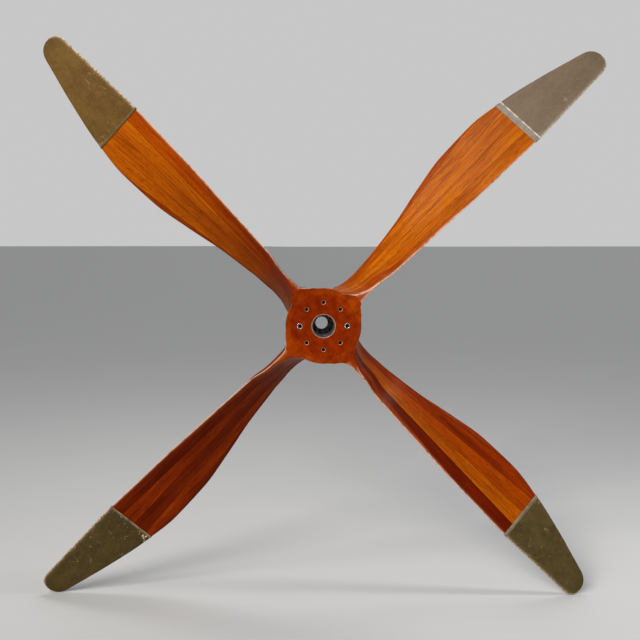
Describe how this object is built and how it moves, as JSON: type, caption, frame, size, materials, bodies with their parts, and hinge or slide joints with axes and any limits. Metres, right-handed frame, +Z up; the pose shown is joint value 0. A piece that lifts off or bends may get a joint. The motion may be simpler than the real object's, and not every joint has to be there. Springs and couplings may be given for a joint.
{
  "type": "wooden aircraft propeller",
  "caption": "Four-blade laminated wooden propeller with painted fabric-sheathed tips and a drilled flat boss for a bolted hub.",
  "frame": {"origin": "centre of the bore, half way through the depth of the boss", "axes": "+Y along the shaft from the face seen in the picture to the far face, +Z up as it stands on two tips, +X to the right; blades at 45, 135, 225 and 315 degrees"},
  "size_m": [2.0654, 0.16, 2.0654],
  "materials": {
    "mahogany_red": "gloss varnish",
    "mahogany_dark": "gloss varnish",
    "mahogany_mid": "gloss varnish",
    "mahogany_light": "gloss varnish",
    "peg_wood": "dark end grain",
    "doped_fabric_grey": "doped and painted linen, satin",
    "doped_fabric_brown": "doped and painted linen, satin",
    "doped_fabric_green": "doped and painted linen, satin, scratched",
    "hem_tape": "doped tape, worn pale",
    "bore_steel": "dull, stained",
    "ferrule_steel": "bright, worn"
  },
  "bodies": {
    "root": {"board_a1": "mahogany_mid", "board_b1": "mahogany_red", "board_a2": "mahogany_mid", "board_b2": "mahogany_red", "board_a3": "mahogany_mid", "board_b3": "mahogany_dark", "board_a4": "mahogany_light", "board_b4": "mahogany_light", "board_a5": "mahogany_light", "board_b5": "mahogany_light", "board_a6": "mahogany_mid", "board_b6": "mahogany_mid", "board_a7": "mahogany_mid", "board_b7": "mahogany_red", "board_a8": "mahogany_red", "board_b8": "mahogany_red", "tip_sheath_a1": "doped_fabric_grey", "tip_sheath_b1": "doped_fabric_brown", "tip_sheath_a2": "doped_fabric_green", "tip_sheath_b2": "doped_fabric_green", "tip_hem_a1": "hem_tape", "tip_hem_b1": "hem_tape", "tip_hem_a2": "hem_tape", "tip_hem_b2": "hem_tape", "pegs_a1": "peg_wood", "pegs_b1": "peg_wood", "pegs_a2": "peg_wood", "pegs_b2": "peg_wood", "bore_sleeve": "bore_steel", "bolt_ferrules": "ferrule_steel"}
  },
  "joints": []
}
